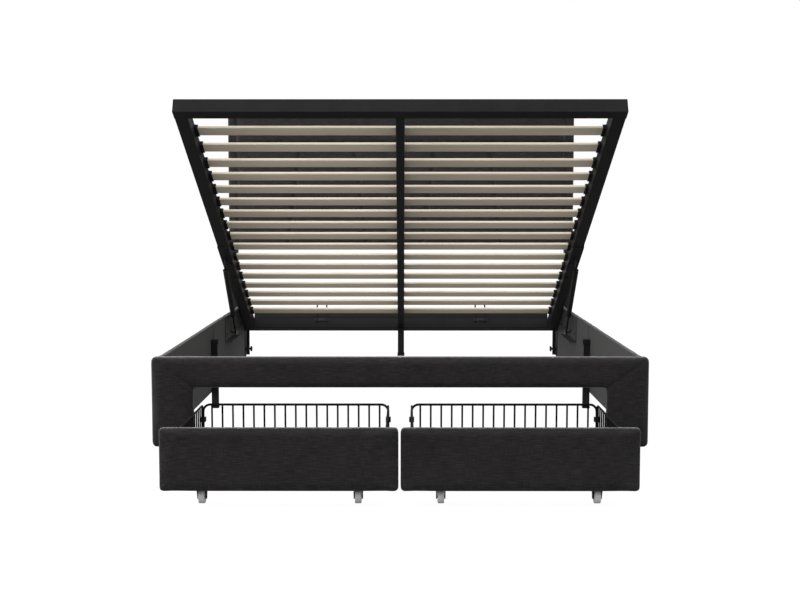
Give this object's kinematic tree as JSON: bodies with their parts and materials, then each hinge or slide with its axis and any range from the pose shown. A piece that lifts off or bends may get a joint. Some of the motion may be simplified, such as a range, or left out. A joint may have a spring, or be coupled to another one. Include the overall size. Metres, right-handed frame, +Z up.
{
  "type": "upholstered storage bed",
  "caption": "Upholstered bed base with a lift-up slatted platform on gas struts, a padded headboard, and wheeled wire drawers that roll out under the foot panel.",
  "frame": {"origin": "on the floor under the middle of the whole bed as pictured, with its drawers out", "axes": "+Y from foot to head, +X to the right seen from the foot, +Z up"},
  "size_m": [1.684, 2.719, 1.28],
  "materials": {
    "charcoal_linen": "woven linen look",
    "panel_board": "board with black lining",
    "dark_wood": "black stained",
    "black_steel": "powder coat",
    "black_wire": "powder coat",
    "zinc_steel": "black zinc plated",
    "nitrided_steel": "black nitrided",
    "slat_veneer": "pale birch ply",
    "black_plastic": "moulded",
    "grey_plastic": "moulded"
  },
  "bodies": {
    "bed_base": {"foot_panel_boards": "panel_board", "foot_panel_covers": "charcoal_linen", "foot_legs": "dark_wood", "side_rail_boards_left": "panel_board", "side_rail_boards_right": "panel_board", "side_rail_covers_left": "charcoal_linen", "side_rail_covers_right": "charcoal_linen", "rail_joint_plates": "black_steel", "mid_legs": "black_steel", "floor_glides": "black_plastic", "headboard_board": "panel_board", "headboard_cover": "charcoal_linen", "headboard_legs": "dark_wood", "headboard_brackets": "black_steel", "foot_corner_brackets": "black_steel", "frame_bolts": "zinc_steel", "lift_base_left": "black_steel", "lift_base_right": "black_steel", "lift_pivot_pins": "zinc_steel"},
    "lift_platform": {"platform_foot_bar": "black_steel", "platform_head_bar": "black_steel", "platform_side_bar_left": "black_steel", "platform_side_bar_right": "black_steel", "platform_centre_beam": "black_steel", "frame_tube_plugs": "black_plastic", "slats_left": "slat_veneer", "slats_right": "slat_veneer", "slat_end_holders": "black_plastic", "slat_centre_caps": "black_plastic", "head_stop_strip": "black_steel", "mattress_stops": "black_steel", "centre_post": "black_steel", "lift_angle_left": "black_steel", "lift_angle_right": "black_steel", "platform_fixings": "zinc_steel"},
    "strut_tube_left": {"gas_strut_tube_left": "black_steel"},
    "strut_rod_left": {"gas_strut_rod_left": "nitrided_steel"},
    "strut_tube_right": {"gas_strut_tube_right": "black_steel"},
    "strut_rod_right": {"gas_strut_rod_right": "nitrided_steel"},
    "drawer_left": {"drawer_front_board_left": "panel_board", "drawer_front_cover_left": "charcoal_linen", "basket_back_left": "black_wire", "basket_sides_left": "black_wire", "basket_floor_left": "black_wire", "basket_clips_left": "black_plastic", "caster_strips_left": "black_steel", "caster_housings_left": "black_plastic"},
    "wheels_front_left": {"caster_wheels_front_left": "grey_plastic"},
    "wheels_rear_left": {"caster_wheels_rear_left": "grey_plastic"},
    "drawer_right": {"drawer_front_board_right": "panel_board", "drawer_front_cover_right": "charcoal_linen", "basket_back_right": "black_wire", "basket_sides_right": "black_wire", "basket_floor_right": "black_wire", "basket_clips_right": "black_plastic", "caster_strips_right": "black_steel", "caster_housings_right": "black_plastic"},
    "wheels_front_right": {"caster_wheels_front_right": "grey_plastic"},
    "wheels_rear_right": {"caster_wheels_rear_right": "grey_plastic"}
  },
  "joints": [
    {"name": "platform_lift", "type": "hinge", "parent": "bed_base", "child": "lift_platform", "pos_m": [0, 1.1035, 0.326], "axis": [-1, 0, 0], "range_deg": [-27.05, 0], "stiffness_Nm_per_rad": 300, "springref_deg": 68.75},
    {"name": "strut_swing_left", "type": "hinge", "parent": "bed_base", "child": "strut_rod_left", "pos_m": [-0.743, 0.8175, 0.245], "axis": [-1, 0, 0], "range_deg": [-41.8, 0]},
    {"name": "strut_stroke_left", "type": "slide", "parent": "strut_rod_left", "child": "strut_tube_left", "axis": [0, -0.7086, 0.7056], "range_m": [-0.0905, 0]},
    {"name": "strut_swing_right", "type": "hinge", "parent": "bed_base", "child": "strut_rod_right", "pos_m": [0.743, 0.8175, 0.245], "axis": [-1, 0, 0], "range_deg": [-41.8, 0]},
    {"name": "strut_stroke_right", "type": "slide", "parent": "strut_rod_right", "child": "strut_tube_right", "axis": [0, -0.7086, 0.7056], "range_m": [-0.0905, 0]},
    {"name": "drawer_slide_left", "type": "slide", "parent": "bed_base", "child": "drawer_left", "axis": [0, 1, 0], "range_m": [0, 0.577]},
    {"name": "wheels_spin_front_left", "type": "hinge", "parent": "drawer_left", "child": "wheels_front_left", "pos_m": [-0.33, -1.3095, 0.019], "axis": [1, 0, 0], "continuous": true},
    {"name": "wheels_spin_rear_left", "type": "hinge", "parent": "drawer_left", "child": "wheels_rear_left", "pos_m": [-0.33, -0.8675, 0.019], "axis": [1, 0, 0], "continuous": true},
    {"name": "drawer_slide_right", "type": "slide", "parent": "bed_base", "child": "drawer_right", "axis": [0, 1, 0], "range_m": [0, 0.577]},
    {"name": "wheels_spin_front_right", "type": "hinge", "parent": "drawer_right", "child": "wheels_front_right", "pos_m": [0.33, -1.3095, 0.019], "axis": [1, 0, 0], "continuous": true},
    {"name": "wheels_spin_rear_right", "type": "hinge", "parent": "drawer_right", "child": "wheels_rear_right", "pos_m": [0.33, -0.8675, 0.019], "axis": [1, 0, 0], "continuous": true}
  ],
  "couplings": [
    {"joint": "strut_swing_left", "follows": "platform_lift", "ratio": 1.5403},
    {"joint": "strut_stroke_left", "follows": "platform_lift", "m_per_rad": 0.19029},
    {"joint": "strut_swing_right", "follows": "platform_lift", "ratio": 1.5403},
    {"joint": "strut_stroke_right", "follows": "platform_lift", "m_per_rad": 0.19029}
  ]
}
